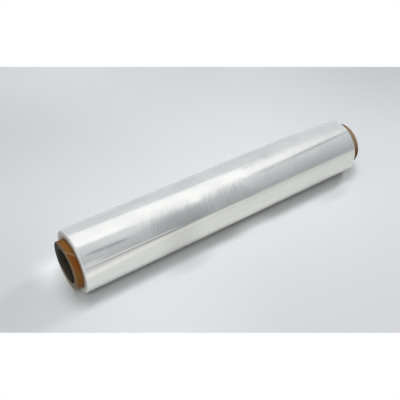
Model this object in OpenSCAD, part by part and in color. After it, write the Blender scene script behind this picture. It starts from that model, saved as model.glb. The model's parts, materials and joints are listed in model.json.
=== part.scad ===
/* [Core] */
// Inner diameter of the core tube
core_bore = 52; // [38:0.5:80]
// Wall of the core tube
core_wall = 10.5; // [4:0.1:14]
// Core left bare at the near end
near_overhang = 10; // [4:0.5:60]
// Core left bare at the far end
far_overhang = 19; // [4:0.5:60]
// Chamfer on the cut edges of the core
core_chamfer = 0.5; // [0.2:0.05:1]
// Thickness of one wound layer of card
ply_thickness = 1.5; // [0.8:0.1:3]
// Width of the fine line between two layers on the cut face
ply_line = 0.3; // [0.1:0.05:0.5]
// Axial advance of the outer layer in one turn
ply_advance = 195; // [80:1:300]
// Open gap between the edges of the outer layer
seam_gap = 0.8; // [0.3:0.1:2]
// Depth of that gap
seam_depth = 0.35; // [0.1:0.05:0.6]
// Angle of the gap from the top at the near cut, towards the front
seam_angle = 21; // [-180:1:180]

/* [Film] */
// Width of the film, which is the length of the wound roll
film_width = 500; // [250:5:750]
// Radial build of the wound film
film_build = 10.5; // [5:0.1:40]
// Gap between the core and the first turn
wrap_clearance = 0.05; // [0.02:0.01:0.2]
// How far the core has sunk in the soft winding of the roll that lies on its side
core_sag = 3; // [0:0.1:3.5]
// Radius of the rounded outer edge at each end
edge_radius = 2; // [0.5:0.1:4]
// Width of the flat that the soft roll rests on
flat_width = 10; // [8.5:0.1:16]

/* [Wound ends] */
// Mean distance between the turns that show as rings
ring_pitch = 1.4; // [0.8:0.1:3]
// Width of the groove between two rings
ring_groove = 0.5; // [0.2:0.05:0.7]
// Depth of the groove between two rings
ring_depth = 0.25; // [0.1:0.05:0.5]

/* [Ripples] */
// Smooth stretch between the near end of the film and the first ripple
ripple_near_margin = 85; // [10:1:110]
// Smooth stretch between the last ripple and the far end of the film
ripple_far_margin = 135; // [10:1:135]
// Distance between two ripples
ripple_pitch = 5; // [3:0.1:12]
// Depth of a ripple
ripple_depth = 0.12; // [0.05:0.01:0.4]

/* [Free end] */
// Height of the step at the free end of the film
tail_step = 0.3; // [0.1:0.05:0.8]
// Angle of the free end from the top at the near end, towards the front
tail_angle = 65.5; // [30:0.5:75]
// Skew of the free end against the roll's axis
tail_skew = 0.2; // [0:0.1:3]
// Share of a turn over which the step levels out, in degrees
tail_fade = 100; // [60:1:100]

/* [Hidden] */
$fn = 96;
slack = 2;
edge_steps = 6;
core_radius = core_bore / 2 + core_wall;
film_inner = core_radius + wrap_clearance;
film_radius = core_radius + film_build;
film_edge = min(edge_radius, film_build / 2);
core_length = near_overhang + film_width + far_overhang;
// The core is centred on the origin, so the film starts one overhang in from its near cut
core_near = -core_length / 2;
film_near = core_near + near_overhang;
film_far = film_near + film_width;
axis_height = sqrt(film_radius * film_radius - flat_width * flat_width / 4);
core_height = axis_height - core_sag;
seam_slope = atan(ply_advance / (2 * PI * core_radius));

// Turns a profile drawn as [radius, distance along the roll] about the roll's axis
module turned(points) {
    rotate([0, 90, 0]) rotate_extrude() polygon(points);
}

// Solid cylinder along X from one place to another, its axis moved sideways in the section
module bar(radius, from, to, shift = [0, 0]) {
    translate([from, shift[0], shift[1]]) rotate([0, 90, 0]) cylinder(r = radius, h = to - from);
}

// Points of a face with fine V grooves at even steps from the inner radius to the outer one
// The face lies at one place along the roll and its grooves are cut in the given direction
function grooved_face(inner, outer, place, pitch, width, depth, into) =
    let (count = floor((outer - inner - width) / pitch))
    [for (i = [1 : 1 : count]) for (p = [[-width / 2, 0], [0, depth * into], [width / 2, 0]])
        [inner + i * pitch + p[0], place + p[1]]];

function reversed(points) = [for (i = [len(points) - 1 : -1 : 0]) points[i]];

// Quarter round from an end face to the outer surface, on the side that the direction names
function edge_round(place, into) =
    [for (i = [0 : edge_steps]) let (a = 90 * i / edge_steps)
        [film_radius - film_edge * (1 - sin(a)), place + into * film_edge * (1 - cos(a))]];

// Shallow waves along the outer surface, where the winding pull has gathered the film
function ripples() =
    let (first = film_near + ripple_near_margin, last = film_far - ripple_far_margin)
    let (count = floor((last - first) / ripple_pitch))
    [for (i = [0 : 1 : count - 1]) for (p = [[0, 0], [ripple_pitch / 2, -ripple_depth]])
        [film_radius + p[1], first + i * ripple_pitch + p[0]]];

// The wound tube: chamfered cuts, and the layers as fine rings on both cut faces
module core_body() {
    inner = core_bore / 2;
    near = core_near;
    far = core_near + core_length;
    near_face = grooved_face(inner + core_chamfer, core_radius - core_chamfer, near, ply_thickness,
        ply_line, ply_line / 2, 1);
    far_face = grooved_face(inner + core_chamfer, core_radius - core_chamfer, far, ply_thickness,
        ply_line, ply_line / 2, -1);
    turned(concat(
        [[inner, near + core_chamfer], [inner + core_chamfer, near]],
        near_face,
        [[core_radius - core_chamfer, near], [core_radius, near + core_chamfer]],
        [[core_radius, far - core_chamfer], [core_radius - core_chamfer, far]],
        reversed(far_face),
        [[inner + core_chamfer, far], [inner, far - core_chamfer]]
    ));
}

// One bare stretch of the spiral gap in the outer layer of card
// Over so short a stretch a flat cut through the wall, tilted to the winding, follows the spiral
module seam(from, to) {
    middle = (from + to) / 2;
    turn = seam_angle + 360 * (middle - core_near) / ply_advance;
    intersection() {
        rotate([turn, 0, 0])
            translate([middle, 0, core_radius])
                rotate([0, 0, seam_slope])
                    cube([seam_gap, 4 * core_radius, core_radius], center = true);
        difference() {
            bar(core_radius + slack, from, to);
            bar(core_radius - seam_depth, from - slack, to + slack);
        }
    }
}

// Fine V grooves between the turns on one end of the film
// The inner turns have sunk with the core and the outer ones haven't, so the rings lie closer below
module turn_grooves(place, into) {
    outer = film_radius - film_edge;
    count = floor((outer - film_inner - ring_groove) / ring_pitch);
    for (i = [1 : 1 : count]) {
        ring = film_inner + i * ring_pitch;
        sunk = core_sag * (film_radius - ring) / (film_radius - film_inner);
        translate([0, 0, -sunk])
            turned([
                [ring - ring_groove, place - into * ring_depth],
                [ring, place + into * ring_depth],
                [ring + ring_groove, place - into * ring_depth]
            ]);
    }
}

// All turns of the film as one wound body, open round the core
module film_body() {
    difference() {
        turned(concat(
            [[core_bore / 2, film_near]],
            edge_round(film_near, 1),
            ripples(),
            reversed(edge_round(film_far, -1)),
            [[core_bore / 2, film_far]]
        ));
        translate([0, 0, -core_sag])
            bar(film_inner, film_near - slack, film_far + slack);
        turn_grooves(film_near, 1);
        turn_grooves(film_far, -1);
    }
}

// What is missing past the free end: the surface drops by one step there and rises back to full
// A second cylinder, a little smaller and off centre, gives that slow rise
module past_free_end() {
    lift = tail_fade / 2 + 100;
    off_centre = tail_step / (cos(tail_fade - lift) - cos(lift));
    rise_radius = film_radius - tail_step - off_centre * cos(lift);
    rotate([tail_angle, 0, 0])
        difference() {
            intersection() {
                bar(film_radius + slack, film_near - slack, film_far + slack);
                translate([film_near, 0, 0])
                    rotate([0, 0, -tail_skew])
                        translate([-film_width / 2, -4 * film_radius, -2 * film_radius])
                            cube([2 * film_width, 4 * film_radius, 4 * film_radius]);
            }
            bar(rise_radius, film_near - 2 * slack, film_far + 2 * slack,
                [-off_centre * sin(lift), off_centre * cos(lift)]);
        }
}

module core_tube() {
    color("peru") translate([0, 0, core_height]) difference() {
        core_body();
        seam(core_near - slack, film_near);
        seam(film_far, core_near + core_length + slack);
    }
}

module film_roll() {
    color("lightgray") difference() {
        translate([0, 0, axis_height]) difference() {
            film_body();
            past_free_end();
        }
        translate([film_near - slack, -film_radius, -film_radius])
            cube([film_width + 2 * slack, 2 * film_radius, film_radius]);
    }
}

core_tube();
film_roll();
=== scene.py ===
# A roll of clear stretch film on its card core, lying on its side on a pale table
import json
import math

import bpy
import numpy as np
from mathutils import Matrix, Vector


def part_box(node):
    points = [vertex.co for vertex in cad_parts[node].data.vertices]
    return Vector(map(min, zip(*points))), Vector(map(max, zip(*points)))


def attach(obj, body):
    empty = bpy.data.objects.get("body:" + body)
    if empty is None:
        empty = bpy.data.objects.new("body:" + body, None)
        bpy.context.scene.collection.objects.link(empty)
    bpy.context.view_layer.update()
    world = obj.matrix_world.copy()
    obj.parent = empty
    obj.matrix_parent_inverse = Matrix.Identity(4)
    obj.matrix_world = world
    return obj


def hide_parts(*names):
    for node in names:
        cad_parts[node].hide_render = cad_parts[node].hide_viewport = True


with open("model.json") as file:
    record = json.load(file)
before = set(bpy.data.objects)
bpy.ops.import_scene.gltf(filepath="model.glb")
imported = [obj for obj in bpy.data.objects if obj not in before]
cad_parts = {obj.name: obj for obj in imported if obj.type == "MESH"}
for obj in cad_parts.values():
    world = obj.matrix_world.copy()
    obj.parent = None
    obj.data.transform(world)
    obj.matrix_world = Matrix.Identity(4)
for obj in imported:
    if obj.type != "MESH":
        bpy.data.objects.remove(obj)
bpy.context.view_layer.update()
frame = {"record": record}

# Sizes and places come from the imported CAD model, in metres
film_low, film_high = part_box("film_roll")
core_low, core_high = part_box("core_tube")
bore = next(m for m in frame["record"]["mounts"] if m["name"] == "core_bore")
BORE_RADIUS = bore["dims"]["r_mm"] / 1000
CORE_RADIUS = (core_high.y - core_low.y) / 2
CORE_TURN = 2 * math.pi * CORE_RADIUS
CORE_AXIS = bore["pos_m"][2]
CORE_NEAR = core_low.x
CORE_FAR = core_high.x
WRAP_CLEARANCE = 0.00005
FILM_INNER = CORE_RADIUS + WRAP_CLEARANCE
FILM_RADIUS = film_high.y
FILM_TURN = 2 * math.pi * FILM_RADIUS
FILM_AXIS = film_high.z - FILM_RADIUS
FILM_NEAR = film_low.x
FILM_FAR = film_high.x
FILM_WIDTH = FILM_FAR - FILM_NEAR
FILM_MIDDLE = (FILM_NEAR + FILM_FAR) / 2

# Radius of the film's outer edge at both ends, and the corners that make it round
FILM_EDGE = 0.002
EDGE_STEPS = 8

# Angles on the roll are in degrees, measured from its top towards the front
FREE_END = 65.5
FREE_END_RISE = 2.1
SEAM_AT_CUT = 19

# How far the core's outer layer of card moves along the roll in one turn
SEAM_ADVANCE = 0.195

# How far single turns stand back from the film's ends at most, and how much more every second one does
UNEVEN_TURNS = 0.00018
TURN_GROOVE = 0.00012

# Patches of the film: strength, then start, end and soft shoulder along the roll, and the same in angle
GATHERED_PATCHES = [
    (0.75, (-0.150, -0.085, 0.020), (26, 52, 9)),
    (1.0, (-0.050, 0.016, 0.012), (32, 62, 7)),
    (1.0, (0.034, 0.112, 0.012), (2, 14, 4)),
    (0.6, (0.012, 0.112, 0.008), (31, 36, 5)),
    (0.4, (0.020, 0.095, 0.012), (62, 70, 4)),
]
# Painted shade: darker patches in the band above the free end, the second one just below the crease
PAINTED_SHADE_PATCHES = [
    (1.0, (-0.118, -0.080, 0.045), (46, 64, 16)),
    (0.45, (-0.205, -0.180, 0.02), (48, 60, 6)),
]

# Level directions on the table: to the right of the picture, and away from its viewer
TO_THE_RIGHT = (0.82503, -0.56508, 0)
AWAY = (0.56512, 0.82501, 0)

WHITE = (1, 1, 1, 1)


def smooth(value, start, end):
    """0 before start, 1 after end, and an even S between them."""
    t = np.clip((np.asarray(value, float) - start) / (end - start), 0, 1)
    return t * t * (3 - 2 * t)


def window(value, start, end, soft):
    """1 between start and end, with soft shoulders outside them."""
    return smooth(value, start - soft, start) * (1 - smooth(value, end, end + soft))


def patches(x, angle, wanted, everywhere=0.0):
    """The strength of these patches at a place along the roll and an angle round it."""
    strength = everywhere
    for peak, along, turned in wanted:
        strength = strength + peak * window(x, *along) * window(angle, *turned)
    return strength


def soft_noise(u, v, cells_u, cells_v, seed):
    """Smooth noise from -1 to 1 over u from 0 to 1 and v from 0 to 1, where v comes round to its start."""
    grid = np.random.default_rng(seed).uniform(-1, 1, (cells_u + 2, cells_v))
    a = np.clip(u, 0, 1) * cells_u
    b = np.mod(v, 1) * cells_v
    i, j = np.floor(a).astype(int), np.floor(b).astype(int)
    p, q = smooth(a - i, 0, 1), smooth(b - j, 0, 1)
    j0, j1 = j % cells_v, (j + 1) % cells_v
    low = grid[i, j0] * (1 - q) + grid[i, j1] * q
    high = grid[i + 1, j0] * (1 - q) + grid[i + 1, j1] * q
    return low * (1 - p) + high * p


def add_object(name, data):
    """A new object of the scene that holds this mesh, lamp or camera."""
    obj = bpy.data.objects.new(name, data)
    bpy.context.scene.collection.objects.link(obj)
    return obj


def round_mesh(name, points, u, v, v_turn, attributes):
    """One closed mesh from rings of points, each ring a loop, the last ring joined to the first.
    u and v are the flat coordinates of each point in metres, and v_turn is v after one whole turn."""
    rings, columns = points.shape[:2]
    index = np.arange(rings * columns).reshape(rings, columns)
    ring_next = np.roll(index, -1, axis=0)
    corners = [index, ring_next, np.roll(ring_next, -1, axis=1), np.roll(index, -1, axis=1)]
    quads = np.stack(corners, axis=-1)
    mesh = bpy.data.meshes.new(name)
    mesh.from_pydata(points.reshape(-1, 3).tolist(), [], quads.reshape(-1, 4).tolist())
    u_next = np.roll(u, -1, axis=0)
    corner_u = np.stack([u, u_next, u_next, u], axis=-1)
    v_next = np.roll(v, -1, axis=1)
    v_next[:, -1] = v_turn
    corner_v = np.stack([v, v, v_next, v_next], axis=-1)
    unrolled = np.stack([corner_u, corner_v], axis=-1).astype(np.float32)
    mesh.uv_layers.new(name="unrolled").data.foreach_set("uv", unrolled.ravel())
    for key, values in attributes.items():
        attribute = mesh.attributes.new(key, "FLOAT", "POINT")
        attribute.data.foreach_set("value", values.astype(np.float32).ravel())
    mesh.validate()
    mesh.shade_smooth()
    return add_object(name, mesh)


def around(x, radius, angle, axis_height):
    """Points at a place along the roll, a distance from its axis and an angle from the top."""
    y = -radius * np.sin(angle)
    z = axis_height + radius * np.cos(angle)
    return np.stack(np.broadcast_arrays(x, y, z), axis=-1)


class Shader:
    """Adds nodes to one material or world and joins them by name."""

    def __init__(self, tree):
        self.tree = tree
        tree.nodes.clear()

    def node(self, kind, inputs=None, **settings):
        made = self.tree.nodes.new(kind)
        for key, value in settings.items():
            setattr(made, key, value)
        for key, value in (inputs or {}).items():
            self.put(made.inputs[key], value)
        return made

    def put(self, socket, value):
        if isinstance(value, bpy.types.NodeSocket):
            self.tree.links.new(value, socket)
        else:
            socket.default_value = value

    def math(self, operation, *values):
        made = self.node("ShaderNodeMath", operation=operation)
        for socket, value in zip(made.inputs, values):
            self.put(socket, value)
        return made.outputs[0]

    def times(self, a, b):
        return self.math("MULTIPLY", a, b)

    def step(self, value, start, end, low=0.0, high=1.0):
        """From low before start to high after end."""
        inputs = {"Value": value, "From Min": start, "From Max": end, "To Min": low, "To Max": high}
        made = self.node("ShaderNodeMapRange", inputs, interpolation_type="SMOOTHSTEP")
        return made.outputs["Result"]

    def fall(self, value, start, end, high=1.0):
        """From high before start to nothing after end."""
        return self.step(value, start, end, high, 0.0)

    def band(self, value, rise, fall, high=1.0):
        """Up over the stretch called rise, and back down from high over the stretch called fall."""
        return self.times(self.step(value, *rise), self.fall(value, *fall, high))

    def between(self, value, low, high):
        above = self.math("GREATER_THAN", value, low)
        below = self.math("LESS_THAN", value, high)
        return self.times(above, below)

    def mix(self, share, a, b):
        made = self.node("ShaderNodeMix", {0: share, 6: a, 7: b}, data_type="RGBA")
        return made.outputs[2]

    def paint(self, base, coats):
        """The base colour under coats of paint, each given as its share and its colour."""
        for share, colour in coats:
            base = self.mix(share, base, colour)
        return base

    def noise(self, vector, scale, detail=2.0, roughness=0.5):
        inputs = {"Vector": vector, "Scale": scale, "Detail": detail, "Roughness": roughness}
        return self.node("ShaderNodeTexNoise", inputs).outputs["Fac"]

    def long_noise(self, vector, along, across, detail=2.0, roughness=0.5):
        """Noise with so many cells in a metre along the roll and in a metre round it."""
        stretched = self.node("ShaderNodeMapping", {"Vector": vector, "Scale": (along, across, 1)})
        return self.noise(stretched.outputs["Vector"], 1.0, detail, roughness)

    def flat(self):
        """The unrolled surface, in metres along the roll and round it."""
        return self.node("ShaderNodeUVMap", uv_map="unrolled").outputs["UV"]

    def place(self):
        """The place on the object, in metres."""
        return self.node("ShaderNodeTexCoord").outputs["Object"]

    def parts(self, vector):
        made = self.node("ShaderNodeSeparateXYZ", {"Vector": vector})
        return made.outputs["X"], made.outputs["Y"], made.outputs["Z"]

    def dot(self, a, b):
        return self.node("ShaderNodeVectorMath", {0: a, 1: b}, operation="DOT_PRODUCT").outputs["Value"]

    def attribute(self, name):
        return self.node("ShaderNodeAttribute", attribute_name=name).outputs["Fac"]

    def bump(self, height, distance, below=None):
        inputs = {"Height": height, "Distance": distance, "Strength": 1.0}
        if below is not None:
            inputs["Normal"] = below
        return self.node("ShaderNodeBump", inputs).outputs["Normal"]

    def principled(self, inputs):
        return self.node("ShaderNodeBsdfPrincipled", inputs).outputs[0]

    def glow(self, colour, strength=1.0):
        return self.node("ShaderNodeEmission", {"Color": colour, "Strength": strength}).outputs[0]

    def mix_shaders(self, share, a, b):
        return self.node("ShaderNodeMixShader", {0: share, 1: a, 2: b}).outputs[0]

    def background_rays(self):
        """1 for the rays that see a background: straight, in gloss or through something clear."""
        ray = self.node("ShaderNodeLightPath")
        seen = self.math("MAXIMUM", ray.outputs["Is Camera Ray"], ray.outputs["Is Glossy Ray"])
        return self.math("MAXIMUM", seen, ray.outputs["Is Transmission Ray"])

    def surface(self, shader):
        self.node("ShaderNodeOutputMaterial", {"Surface": shader})


def material(name):
    made = bpy.data.materials.new(name)
    made.use_nodes = True
    return made, Shader(made.node_tree)


def grey(value, tint=(1, 1, 1)):
    return (value * tint[0], value * tint[1], value * tint[2], 1)


# The film: one wound body, its columns lined up with the free end so that its step stays sharp
def film_columns():
    """Degrees past the free end of each column of points."""
    near_edge = [0.03, 0.2, 0.45, 0.8, 1.2, 1.7, 2.4, 3.3, 4.4]
    front = np.arange(5.6, 66, 1.35)
    under = np.arange(66, 101, 3.5)
    flat = np.arange(102, 128, 1.6)
    back = np.arange(130, 218, 5.5)
    brow = np.arange(220, 254, 1.4)
    top = np.arange(255, 357.5, 1.25)
    last = [358.2, 358.7, 359.1, 359.4, 359.7, 359.9]
    return np.concatenate([near_edge, front, under, flat, back, brow, top, last])


def film_end(place, into, turns, draws):
    """The rings of one end of the film: its uneven turns, and then its rounded edge."""
    face_top = FILM_RADIUS - FILM_EDGE
    rings = []
    for i, radius in enumerate(np.linspace(FILM_INNER, face_top, turns)):
        inset = 0 if i in (0, turns - 1) else UNEVEN_TURNS * draws.random()
        if i % 2:
            inset += TURN_GROOVE
        rings.append((radius, place + into * inset, 1.0))
    for i in range(1, EDGE_STEPS + 1):
        bend = math.radians(90 * i / EDGE_STEPS)
        radius = face_top + FILM_EDGE * math.sin(bend)
        x = place + into * FILM_EDGE * (1 - math.cos(bend))
        rings.append((radius, x, 1 - i / EDGE_STEPS))
    return rings


def film_profile():
    """Radius, place along the roll, share of end face and flat coordinate of each ring."""
    near_turns, far_turns = 26, 16
    draws = np.random.default_rng(5)
    near_end = film_end(FILM_NEAR, 1, near_turns, draws)
    far_end = film_end(FILM_FAR, -1, far_turns, draws)

    # The rings lie closest together where the film is gathered
    gathered_from, gathered_to = -0.19, 0.13
    near_step, gathered_step, far_step = 0.0016, 0.0012, 0.0022
    first_place = FILM_NEAR + FILM_EDGE + 0.0012
    last_place = FILM_FAR - FILM_EDGE - 0.0008
    places = np.concatenate([
        np.arange(first_place, gathered_from, near_step),
        np.arange(gathered_from, gathered_to, gathered_step),
        np.arange(gathered_to, last_place, far_step),
    ])
    outer = [(FILM_RADIUS, x, 0.0) for x in places]
    radius, x, end_face = np.array(near_end + outer + far_end[::-1]).T
    flat = x.copy()
    first, last = len(near_end), len(radius) - len(far_end)
    flat[:first] = FILM_NEAR - (FILM_RADIUS - radius[:first])
    flat[last:] = FILM_FAR + (FILM_RADIUS - radius[last:])
    return radius, x, end_face, flat


def free_end_shape(past, x):
    """Height of the surface near the free end, in metres. past is degrees beyond it, down the front."""
    lip_depth, step_depth, groove_depth = 0.00006, 0.00014, 0.00007
    lip_width, step_fade, groove_width = 2.4, 100, 1.6
    least, more, loose_part = 0.25, 0.75, (-0.252, -0.125, 0.03)
    below = past < 180
    strong = least + more * window(x, *loose_part)
    rolled = -lip_depth * strong * smooth(past - 360, -lip_width, 0) * (past > 180)
    recess = -step_depth * np.clip(1 - past / step_fade, 0, 1) ** 1.5 * below
    groove = -groove_depth * strong * (1 - smooth(past, 0.0, groove_width)) * below
    return rolled + recess + groove


def crease_shade(x, angle):
    """The one deep crease near the near end, narrow at both tips, as a share of its full depth."""
    place, turned, turned_per_metre = -0.214, 45.6, 35
    tip_width, more_width = 1.3, 1.4
    whole_part, wide_part = (-0.236, -0.192, 0.016), (-0.225, -0.200, 0.02)
    middle = turned + turned_per_metre * (x - place)
    width = tip_width + more_width * window(x, *wide_part)
    return window(x, *whole_part) * np.exp(-((angle - middle) / width) ** 2)


def film_relief(x, angle, past):
    """How far the film's surface stands off a true cylinder, in metres."""
    long_slack, short_slack, tension_lines, crease_depth = 0.00010, 0.00004, 0.000012, 0.00012
    u = (x - FILM_NEAR) / FILM_WIDTH
    v = angle / 360
    slack = long_slack * soft_noise(u, v, cells_u=7, cells_v=9, seed=11)
    slack = slack + short_slack * soft_noise(u, v, cells_u=18, cells_v=14, seed=12)
    tension = tension_lines * soft_noise(u, v, cells_u=90, cells_v=7, seed=13)
    crease = crease_depth * crease_shade(x, angle)

    # Beside its flat the soft roll bulges on both sides
    bulge_height, bulge_angles = 0.0010, (118, 150, 22)
    bulge = bulge_height * (window(angle, *bulge_angles) + window(360 - angle, *bulge_angles))
    return slack + tension - crease + bulge + free_end_shape(past, x)


def gathered(x, angle):
    """Where the winding pull has gathered the film into fine ripples round the roll."""
    return np.clip(patches(x, angle, GATHERED_PATCHES, everywhere=0.06), 0, 1)


def make_film():
    rings = [ring[:, None] for ring in film_profile()]
    radius, x, end_face, flat, past = np.broadcast_arrays(*rings, film_columns()[None, :])
    share = (x - FILM_NEAR) / FILM_WIDTH
    angle = FREE_END + FREE_END_RISE * share + past
    turned = np.mod(angle + 180, 360) - 180
    relief = film_relief(x, np.mod(angle, 360), past)
    relief_share = smooth(radius, FILM_RADIUS - 2 * FILM_EDGE, FILM_RADIUS)
    outer_face = 1 - end_face

    # The inner turns have sunk with the core, less and less outwards, and the outer ones haven't
    round_from = 0.82
    build = (radius - FILM_INNER) / (FILM_RADIUS - FILM_INNER)
    sunk = (FILM_AXIS - CORE_AXIS) * (1 - np.clip(build / round_from, 0, 1))
    points = around(x, radius + relief * relief_share, np.radians(angle), FILM_AXIS - sunk)
    points[..., 2] = np.maximum(points[..., 2], 0)
    attributes = {
        "end_face": end_face,
        "build": build,
        "gathered": gathered(x, turned) * outer_face,
        "below_free_end": 1 - smooth(past, 60, 96),
        "lean": 0.45 * (1 - smooth(x, 0.02, 0.05)),
        # Shares of painted shade: in the crease, low on the roll beside its flat, and in patches above the
        # free end
        "crease": crease_shade(x, turned) * outer_face,
        "painted_underside_shade": smooth(np.abs(turned), 114, 130) * outer_face,
        "painted_shade": patches(x, turned, PAINTED_SHADE_PATCHES) * (past > 180),
    }
    v = np.radians(past) * FILM_RADIUS
    return round_mesh("stretch_film", points, flat, v, FILM_TURN, attributes)


def film_material():
    made, s = material("clear_film_wound")
    milky_dark = grey(0.72, (0.975, 0.995, 1.005))
    milky_light = grey(0.79, (0.98, 1.0, 1.0))
    pale_near = grey(0.89, (1.0, 1.0, 0.945))
    pale_far = grey(0.89, (1.0, 1.0, 0.93))
    # Painted shade tones: for the crease, for patches above the free end, and low on the roll near the
    # table
    crease_painted_shade = grey(0.34, (0.95, 1.0, 1.03))
    painted_shade_tone = grey(0.36, (0.96, 1.0, 1.02))
    underside_painted_shade = (0.21, 0.21, 0.125, 1)
    inner_turns = (0.24, 0.19, 0.115, 1)
    outer_turns = (0.74, 0.73, 0.67, 1)

    # Metres along the roll, and round it from the free end down the front and back to that end
    flat = s.flat()
    along, across = s.parts(flat)[:2]
    end_face = s.attribute("end_face")
    build = s.attribute("build")
    ripple_share = s.attribute("gathered")

    # Fine lines round the roll, left by the winding, and a slow clouding of the layers below
    streaks = s.long_noise(flat, 620, 16, 3.0)
    drawn = s.long_noise(flat, 150, 9)
    cloud = s.long_noise(flat, 22, 30, 3.0)
    wander = s.long_noise(flat, 70, 26)
    rings = s.long_noise(flat, 1500, 6)

    # Gathered film: short uneven pleats, leaning a little against the roll's axis
    pleat_pitch, pleat_wander, even_pleats = 0.0052, 14.0, 0.16
    leaning = s.math("MULTIPLY_ADD", across, s.attribute("lean"), along)
    folded = s.node("ShaderNodeCombineXYZ", {"X": leaning, "Y": across}).outputs["Vector"]
    pleats = s.step(s.long_noise(folded, 350, 46), 0.34, 0.66)
    phase = s.math("MULTIPLY_ADD", leaning, 2 * math.pi / pleat_pitch, s.times(wander, pleat_wander))
    pleats = s.math("MULTIPLY_ADD", s.math("SINE", phase), even_pleats, pleats)
    ripple = s.times(pleats, ripple_share)

    # Below the free end the film is paler and warmer, with a darker stretch, and a painted shade line just
    # below that end, under its step
    pale_below_end = s.paint(s.mix(s.step(along, -0.19, -0.12), pale_near, pale_far), [
        (s.band(along, (-0.147, -0.115), (-0.10, -0.06), 0.24), grey(0.45)),
        # Painted shade just below the free end, under its step
        (s.fall(across, 0.003, 0.013, 0.18), grey(0.42)),
    ])

    # Painted light: lighter patches above the free end at the near end of the roll, and high at the back
    # of the far end
    painted_light_near_end = s.times(
        s.fall(along, -0.245, -0.212, 0.8),
        s.step(across, FILM_TURN - 0.0085, FILM_TURN - 0.0050),
    )
    painted_light_far_back = s.times(
        s.band(across, (0.190, 0.210), (0.222, 0.238)),
        s.step(along, 0.12, 0.20, 0.0, 0.5),
    )

    # The free end has a painted highlight along its edge and a painted shadow line at and below it, both
    # strongest where the end is loose
    loose = s.times(s.fall(along, -0.13, -0.09), s.step(along, -0.248, -0.215))
    lip_edge = FILM_TURN - 0.0006
    painted_lip_highlight = s.band(across, (FILM_TURN - 0.0034, FILM_TURN - 0.0020), (lip_edge, FILM_TURN))
    painted_lip_shadow = s.math("ADD", s.step(across, lip_edge, FILM_TURN), s.fall(across, 0.0004, 0.0014))

    body = s.paint(s.mix(s.step(cloud, 0.3, 0.7), milky_dark, milky_light), [
        (s.attribute("below_free_end"), pale_below_end),
        # Painted light in two patches
        (painted_light_near_end, WHITE),
        (painted_light_far_back, WHITE),
        # Painted shade along the pleats
        (s.times(ripple, 0.30), grey(0.42)),
        # Painted shade in the crease
        (s.times(s.attribute("crease"), 0.62), crease_painted_shade),
        # Painted shade in patches above the free end
        (s.times(s.attribute("painted_shade"), 0.36), painted_shade_tone),
        # Painted shade low on the roll beside its flat, where it nears the table
        (s.times(s.attribute("painted_underside_shade"), 0.6), underside_painted_shade),
        # Painted highlight along the free end, then painted shadow at and below it
        (s.times(painted_lip_highlight, loose), WHITE),
        (s.times(painted_lip_shadow, s.math("MULTIPLY_ADD", loose, 0.40, 0.12)), grey(0.25)),
        (s.step(streaks, 0.45, 0.85, 0.0, 0.22), grey(0.93)),
    ])

    # The end face: brownish next to the core, milky outwards, in fine rings, and nearly white at its outer
    # rim, partly the milky film edges and partly a painted highlight on the rounded edge
    turns = s.paint(s.mix(s.step(build, 0.0, 0.62), inner_turns, outer_turns), [
        (s.step(rings, 0.35, 0.7, 0.0, 0.35), grey(0.82, (1.0, 0.99, 0.95))),
        # Partly painted highlight: the outer rim nearly white
        (s.step(build, 0.78, 0.88), grey(0.93, (1.0, 0.995, 0.97))),
    ])
    colour = s.mix(s.step(end_face, 0.0, 0.6), body, turns)

    rough = s.step(drawn, 0.3, 0.75, 0.13, 0.19)
    rough = s.math("MULTIPLY_ADD", ripple_share, 0.10, rough)
    rough = s.math("MULTIPLY_ADD", end_face, 0.3, rough)
    metal = s.math("MULTIPLY_ADD", end_face, -0.46, 0.50)

    normal = s.bump(ripple, 0.00005)
    normal = s.bump(drawn, 0.000025, normal)
    normal = s.bump(streaks, 0.00001, normal)
    normal = s.bump(s.times(rings, end_face), 0.00025, normal)

    s.surface(s.principled({
        "Base Color": colour, "Roughness": rough, "Metallic": metal, "IOR": 1.5, "Normal": normal,
    }))
    return made


# The core: columns that follow the spiral, so that the seam of the outer layer is one crisp line
def core_columns():
    """Degrees round the core from the seam of each column of points."""
    after_seam = [0.35, 0.6, 1.2, 2.0]
    before_seam = [358.0, 358.8, 359.4, 359.65]
    return np.concatenate([after_seam, np.arange(3.5, 357, 3.0), before_seam])


def cut_face(place, into):
    """The rings of one cut face: its chamfers, and a fine line between each two layers of card."""
    chamfer, layer_step, least_layer = 0.0005, 0.0015, 0.0022
    line_half, line_depth = 0.00016, 0.00018
    rings = [(BORE_RADIUS, place + into * chamfer, 0.6), (BORE_RADIUS + chamfer, place, 1)]
    layer = BORE_RADIUS + chamfer
    while layer + least_layer < CORE_RADIUS - chamfer:
        layer += layer_step
        rings += [
            (layer - line_half, place, 1),
            (layer, place + into * line_depth, 1),
            (layer + line_half, place, 1),
        ]
    rings += [(CORE_RADIUS - chamfer, place, 1), (CORE_RADIUS, place + into * chamfer, 0.5)]
    return rings


def core_profile():
    """Radius and place of each ring, its share of cut face, and whether it lies in the bore."""
    # Fine rings where the core is bare, and coarse ones where the film hides it
    fine_step, coarse_step = 0.001, 0.005
    outer = np.concatenate([
        np.arange(CORE_NEAR + 0.0015, FILM_NEAR + 0.002, fine_step),
        np.arange(FILM_NEAR + 0.005, FILM_FAR - 0.004, coarse_step),
        np.arange(FILM_FAR - 0.002, CORE_FAR - 0.001, fine_step),
    ])
    inner = np.arange(CORE_FAR - 0.004, CORE_NEAR + 0.003, -coarse_step)
    rings = cut_face(CORE_NEAR, 1) + [(CORE_RADIUS, x, 0) for x in outer]
    rings += cut_face(CORE_FAR, -1)[::-1] + [(BORE_RADIUS, x, 0) for x in inner]
    radius, x, cut = np.array(rings).T
    tolerance = 0.0001
    inside = (radius < BORE_RADIUS + tolerance).astype(float)
    return radius, x, cut, inside


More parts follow.
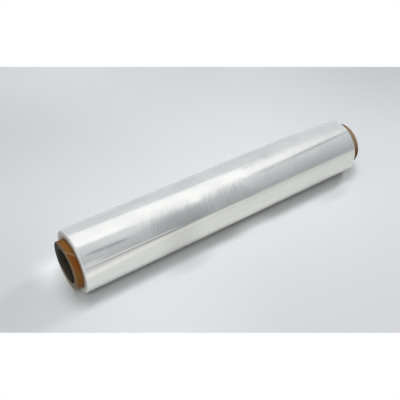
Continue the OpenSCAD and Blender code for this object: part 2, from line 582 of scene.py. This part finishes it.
def make_core():
    rings = [ring[:, None] for ring in core_profile()]
    radius, x, cut, inside, turned = np.broadcast_arrays(*rings, core_columns()[None, :])
    angle = np.radians(SEAM_AT_CUT + 360 * (x - CORE_NEAR) / SEAM_ADVANCE + turned)

    # The open seam between two turns of the outer layer, only in the outer skin of the core
    seam_depth, seam_half, skin = 0.0003, 0.5, 0.0006
    at_seam = (turned < seam_half) | (turned > 360 - seam_half)
    sunk = seam_depth * at_seam * (radius > CORE_RADIUS - skin)

    # The cut edges are a little frayed, always inwards
    frayed_depth, noise_span, least_cut = 0.00012, 0.0106, 0.4
    turn_share = np.mod(angle / 2 / math.pi, 1)
    noise = soft_noise((radius - BORE_RADIUS) / noise_span, turn_share, cells_u=6, cells_v=60, seed=21)
    inwards = np.where(x < 0, 1, -1)
    frayed = np.abs(frayed_depth * noise) * inwards * (cut > least_cut)

    points = around(x + frayed, radius - sunk, angle, CORE_AXIS)
    attributes = {
        "cut": cut,
        "inside": inside,
        "depth": (radius - BORE_RADIUS) / (CORE_RADIUS - BORE_RADIUS),
    }
    v = np.radians(turned) * CORE_RADIUS
    return round_mesh("card_core", points, x, v, CORE_TURN, attributes)


def core_material():
    made, s = material("wound_card")
    kraft_dark = (0.19, 0.076, 0.014, 1)
    kraft_light = (0.225, 0.092, 0.018, 1)
    reddish = (0.18, 0.050, 0.005, 1)
    glued_edge = (0.28, 0.15, 0.072, 1)
    dark_fibre = (0.13, 0.056, 0.014, 1)
    seam_shadow = (0.045, 0.022, 0.01, 1)
    far_end_painted_shade = (0.12, 0.066, 0.030, 1)
    painted_light_low_tone = (0.30, 0.24, 0.15, 1)
    cut_dark = (0.21, 0.135, 0.067, 1)
    cut_light = (0.27, 0.18, 0.095, 1)
    layer_line = (0.10, 0.065, 0.03, 1)
    low_cut_tone = (0.26, 0.23, 0.17, 1)
    dark_back_tone = (0.036, 0.034, 0.025, 1)
    bore_shade_dark = (0.014, 0.012, 0.007, 1)
    bore_shade_light = (0.026, 0.023, 0.015, 1)
    bore_mouth_painted_light = (0.075, 0.068, 0.05, 1)
    card_layers = 7

    # Metres along the roll, and round it from the seam
    flat = s.flat()
    along, across = s.parts(flat)[:2]
    place = s.place()
    back, up = s.parts(place)[1:]
    fibres = s.long_noise(flat, 500, 1700, 5.0, 0.6)
    mottle = s.noise(place, 90, 4.0)
    stains = s.noise(place, 28, 2.0)

    # The outer paper: the seam's open gap with a light glued edge and painted shadow in the gap, painted
    # shade beyond the film's far end, and painted light on a stretch low at the near end
    gap = s.math(
        "MAXIMUM",
        s.fall(across, 0.0001, 0.0004),
        s.step(across, CORE_TURN - 0.0004, CORE_TURN - 0.0001),
    )
    # Painted light on a stretch of card that lies low and in shade at the near end
    painted_light_low = s.times(s.step(across, 0.051, 0.064, 0.0, 0.7), s.fall(across, 0.095, 0.115))
    paper = s.paint(s.mix(s.step(stains, 0.3, 0.7), kraft_dark, kraft_light), [
        (s.fall(across, 0.014, 0.026, 0.85), reddish),
        (s.step(across, CORE_TURN - 0.0050, CORE_TURN - 0.0036), glued_edge),
        (s.step(fibres, 0.35, 0.75, 0.0, 0.35), dark_fibre),
        (gap, seam_shadow),
        # Painted shade beyond the film's far end
        (s.step(along, FILM_FAR - 0.01, FILM_FAR, 0.0, 0.65), far_end_painted_shade),
        (painted_light_low, painted_light_low_tone),
    ])

    # The cut face: layers of card, olive-grey low down and darker at the back
    layers = s.math("SINE", s.times(s.attribute("depth"), 2 * math.pi * card_layers))
    dark_back_share = s.times(s.step(back, -0.006, 0.010), s.step(up, 0.014, 0.030))
    dark_back_share = s.times(dark_back_share, s.fall(up, 0.066, 0.073))
    face = s.paint(s.mix(s.step(mottle, 0.3, 0.7), cut_dark, cut_light), [
        (s.step(layers, 0.6, 1.0, 0.0, 0.5), layer_line),
        (s.fall(up, 0.020, 0.034), low_cut_tone),
        (dark_back_share, dark_back_tone),
    ])

    # The bore: dark paper as painted shade, a little lighter next to both cuts as painted light reaching
    # in
    lip_length = 0.014
    near_lip = s.fall(along, CORE_NEAR, CORE_NEAR + lip_length)
    far_lip = s.step(along, CORE_FAR - lip_length, CORE_FAR)
    bore_painted_shade = s.mix(s.step(fibres, 0.3, 0.7), bore_shade_dark, bore_shade_light)
    bore_painted_shade = s.mix(s.times(s.math("ADD", near_lip, far_lip), 0.7), bore_painted_shade, bore_mouth_painted_light)

    colour = s.paint(paper, [
        (s.step(s.attribute("cut"), 0.2, 0.7), face),
        (s.attribute("inside"), bore_painted_shade),
    ])
    normal = s.bump(fibres, 0.00009)
    normal = s.bump(mottle, 0.0002, normal)
    s.surface(s.principled({
        "Base Color": colour, "Roughness": s.step(mottle, 0.2, 0.8, 0.62, 0.82), "IOR": 1.45,
        "Specular IOR Level": 0.25, "Normal": normal,
    }))
    return made


film = make_film()
film.data.materials.append(film_material())
film.data.set_sharp_from_angle(angle=math.radians(35))
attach(film, "root")
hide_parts("film_roll")

core = make_core()
core.data.materials.append(core_material())
core.data.set_sharp_from_angle(angle=math.radians(40))
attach(core, "root")
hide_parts("core_tube")


def flat_shape(name, outline, height):
    """A level face of the stage, from its outline."""
    mesh = bpy.data.meshes.new(name)
    mesh.from_pydata([(x, y, height) for x, y in outline], [], [tuple(range(len(outline)))])
    return add_object(name, mesh)


def only_in_gloss(obj):
    """Lets an object of the stage show in the film's gloss and nowhere else."""
    obj.visible_camera = False
    obj.visible_diffuse = False
    obj.visible_shadow = False


def painted_light_on_table(s, place, away):
    """Painted light and shade on the board: uneven over the whole picture, and along the shadow's front
    edge.
    """
    aside = s.dot(place, TO_THE_RIGHT)
    right, left = s.step(aside, 0.0, 0.45), s.fall(aside, -0.45, 0.0)
    front, back = s.fall(away, -0.25, 0.12), s.step(away, 0.2, 0.55)
    middle = s.band(aside, (-0.35, -0.17), (-0.12, 0.12))
    painted_light_changes = [
        (right, -0.100), (left, -0.061), (front, -0.182), (back, -0.028),
        (s.times(left, back), 0.279), (s.times(left, front), 0.029),
        (s.times(right, front), 0.087), (s.times(right, back), -0.126),
        (s.times(middle, front), 0.120),
    ]
    plain_level = 1.025
    level = plain_level
    for share, change in painted_light_changes:
        level = s.math("MULTIPLY_ADD", share, change, level)

    # Painted shadow edge: one lighter stretch between two darker ones, each given as x, y, half its
    # length, half its width, and its change
    painted_shadow_edge = [
        (0.034, -0.042, 0.050, 0.017, 0.26),
        (-0.097, -0.058, 0.055, 0.018, -0.14),
        (0.192, -0.059, 0.055, 0.020, -0.12),
    ]
    for x, y, length, width, change in painted_shadow_edge:
        centred = s.node("ShaderNodeMapping", {
            "Vector": place, "Location": (-x / length, -y / width, 0),
            "Scale": (1 / length, 1 / width, 0),
        })
        from_middle = s.node("ShaderNodeVectorMath", {0: centred.outputs["Vector"]}, operation="LENGTH")
        share = s.fall(from_middle.outputs["Value"], 0.2, 1.0)
        level = s.math("MULTIPLY_ADD", share, change, level)
    return level


# The table: a pale board with painted light and shade on it, and the picture's plain white bars as strips
# before and behind the roll
def make_table():
    half = 1.4
    board_dark, board_light = (0.725, 0.745, 0.765, 1), (0.745, 0.76, 0.775, 1)
    bar_behind, bar_before = (0.5261, 0.98), (-0.35, -0.2283)
    table = flat_shape("table", [(-half, -half), (half, -half), (half, half), (-half, half)], 0)
    made, s = material("pale_board")
    place = s.place()
    away = s.dot(place, AWAY)
    mottle = s.step(s.noise(place, 2.2, 2.0), 0.3, 0.7)
    board = s.mix(mottle, board_dark, board_light)
    # Painted light and shade scale the board's colour
    level = painted_light_on_table(s, place, away)
    lit = s.node("ShaderNodeVectorMath", {0: board, "Scale": level}, operation="SCALE")
    shaded = s.principled({"Base Color": lit.outputs["Vector"], "Roughness": 0.7, "IOR": 1.4})
    bars = s.math("MAXIMUM", s.between(away, *bar_behind), s.between(away, *bar_before))
    s.surface(s.mix_shaders(s.times(bars, s.background_rays()), shaded, s.glow(WHITE)))
    table.data.materials.append(made)


# One large softbox overhead, whose outline is what the film shows as its long highlight
def make_softbox():
    height = 1.0
    warm_white, black = (1.0, 0.985, 0.945, 1), (0.08, 0.08, 0.08, 1)
    outline = [
        (-0.30, 1.27), (0.05, 0.98), (0.28, 0.72), (0.37, 0.62), (0.50, 0.62), (0.57, 0.56),
        (0.63, 0.46), (0.70, 0.42), (0.77, 0.41), (0.83, 0.32), (0.89, 0.23), (1.10, -0.05),
        (1.20, -0.13), (1.08, -0.13), (0.94, -0.18), (0.86, -0.21), (0.75, -0.31), (0.63, -0.35),
        (0.58, -0.41), (0.55, -0.49), (0.51, -0.57), (0.45, -0.57), (0.31, -0.44), (0.19, -0.30),
        (0.09, -0.22), (-0.35, -0.06),
    ]
    softbox = flat_shape("softbox", [(x + FILM_MIDDLE, y) for x, y in outline], height)
    only_in_gloss(softbox)
    made, s = material("softbox_cloth")
    x, y = s.parts(s.place())[:2]
    left_part, right_part = s.step(x, -0.05, 0.45, 1.70, 1.35), s.step(x, 0.62, 0.95, 1.36, 0.85)
    strength = s.times(s.math("MINIMUM", left_part, right_part), s.step(y, -0.55, -0.25, 0.88, 1.0))
    s.surface(s.glow(warm_white, strength))
    softbox.data.materials.append(made)

    # The black rim along the right part of its front edge
    front = [(0.60, -0.39), (0.63, -0.35), (0.75, -0.31), (0.86, -0.21), (0.94, -0.18), (1.08, -0.13)]
    back = [(1.12, -0.20), (1.00, -0.31), (0.93, -0.40), (0.79, -0.44), (0.65, -0.43), (0.60, -0.45)]
    frame_bar = flat_shape("softbox_rim", front + back, height)
    only_in_gloss(frame_bar)
    made, s = material("rim_cloth")
    s.surface(s.glow(black))
    frame_bar.data.materials.append(made)


def hang_lamp(name, data, place, power):
    """A lamp that lights surfaces and shows nowhere, also not in the film's gloss."""
    data.energy = power
    lamp = add_object(name, data)
    lamp.location = place
    lamp.visible_glossy = False
    lamp.visible_camera = False
    return lamp


def make_lamp(name, place, size, power):
    """A soft rectangular lamp that faces straight down."""
    data = bpy.data.lights.new(name, "AREA")
    data.shape = "RECTANGLE"
    data.size, data.size_y = size
    hang_lamp(name, data, place, power)


def make_spot(name, place, aim, degrees, power):
    """A narrow soft spotlight on the table."""
    data = bpy.data.lights.new(name, "SPOT")
    data.spot_size = math.radians(degrees)
    data.spot_blend = 1.0
    data.shadow_soft_size = 0.02
    lamp = hang_lamp(name, data, place, power)
    lamp.rotation_euler = (Vector(aim) - Vector(place)).to_track_quat("-Z", "Y").to_euler()


# The light from all round, and a pale background behind everything
def make_world():
    world = bpy.data.worlds.new("studio")
    world.use_nodes = True
    bpy.context.scene.world = world
    s = Shader(world.node_tree)
    light = s.node("ShaderNodeBackground", {"Color": (0.198, 0.206, 0.212, 1), "Strength": 1.0})
    pale = s.node("ShaderNodeBackground", {"Color": (0.75, 0.76, 0.77, 1), "Strength": 1.0})
    seen = s.node("ShaderNodeLightPath").outputs["Is Camera Ray"]
    whole = s.mix_shaders(seen, light.outputs[0], pale.outputs[0])
    s.node("ShaderNodeOutputWorld", {"Surface": whole})


# What the film mirrors beside the softbox: a room that darkens towards the table
def make_room():
    bpy.ops.mesh.primitive_uv_sphere_add(segments=48, ring_count=24, radius=6)
    room = bpy.context.object
    room.name = "room"
    only_in_gloss(room)
    made, s = material("room_walls")
    way = s.node("ShaderNodeVectorMath", {0: s.place()}, operation="NORMALIZE").outputs["Vector"]
    right, _, up = s.parts(way)

    # How light the room is at each height, from the table's level to straight above
    levels = [
        (0.0, 0.17), (0.14, 0.19), (0.38, 0.31), (0.56, 0.40),
        (0.70, 0.56), (0.80, 0.72), (0.88, 0.80), (1.0, 0.80),
    ]
    rise = s.node("ShaderNodeValToRGB", {"Fac": up})
    ramp = rise.color_ramp
    ramp.elements.remove(ramp.elements[1])
    for height, value in levels:
        stop = ramp.elements.new(height) if height else ramp.elements[0]
        stop.color = grey(value, (0.97, 1.0, 1.03))

    # A dim upright band on the right, an even wall on the left and a pale one at the back
    dim = s.times(s.band(right, (0.31, 0.38), (0.39, 0.50)), s.fall(up, 0.60, 0.82, 0.62))
    right_part = s.mix(dim, rise.outputs["Color"], (0, 0, 0, 1))
    level = s.step(up, 0.66, 0.84, 0.37, 0.55)
    left_part = s.node("ShaderNodeCombineXYZ", {"X": level, "Y": level, "Z": level}).outputs["Vector"]
    backwards = s.dot(way, (0.5, 0.866, 0))
    back_part = s.times(s.step(backwards, 0.2, 0.5), s.fall(up, 0.70, 0.80))
    back_tone = (0.60, 0.62, 0.635, 1)
    colour = s.paint(right_part, [
        (s.fall(right, 0.25, 0.34), left_part),
        (back_part, back_tone),
    ])
    s.surface(s.glow(colour))
    room.data.materials.append(made)


def make_camera():
    data = bpy.data.cameras.new("camera")
    data.lens = 52.34
    data.sensor_width = 36
    data.sensor_fit = "HORIZONTAL"
    data.dof.use_dof = False
    camera = add_object("camera", data)
    place = (-0.42617, -0.56212, 0.62380)
    down = Vector((-0.36148, -0.52778, -0.76862))
    forward = Vector((0.43436, 0.63412, -0.6397))
    axes = Matrix((Vector(TO_THE_RIGHT), -down, -forward)).transposed().to_4x4()
    camera.matrix_world = Matrix.Translation(place) @ axes
    bpy.context.scene.camera = camera


make_table()
make_softbox()
make_lamp("overhead", place=(0.0, 0.05, 1.5), size=(0.5, 0.3), power=6.0)
make_lamp("over_near_end", place=(-0.2, -0.2, 1.5), size=(0.4, 0.4), power=4.2)
make_lamp("far_side", place=(1.6, 0.05, 1.5), size=(0.4, 0.4), power=16.4)
make_lamp("front_left", place=(-0.85, -1.05, 1.5), size=(0.8, 0.8), power=14.8)
make_spot("beside_near_end", place=(-0.55, 0.30, 0.60), aim=(-0.259, 0.035, 0.0), degrees=6.0, power=9.5)
make_world()
make_room()
make_camera()
bpy.context.scene.view_settings.view_transform = "Standard"
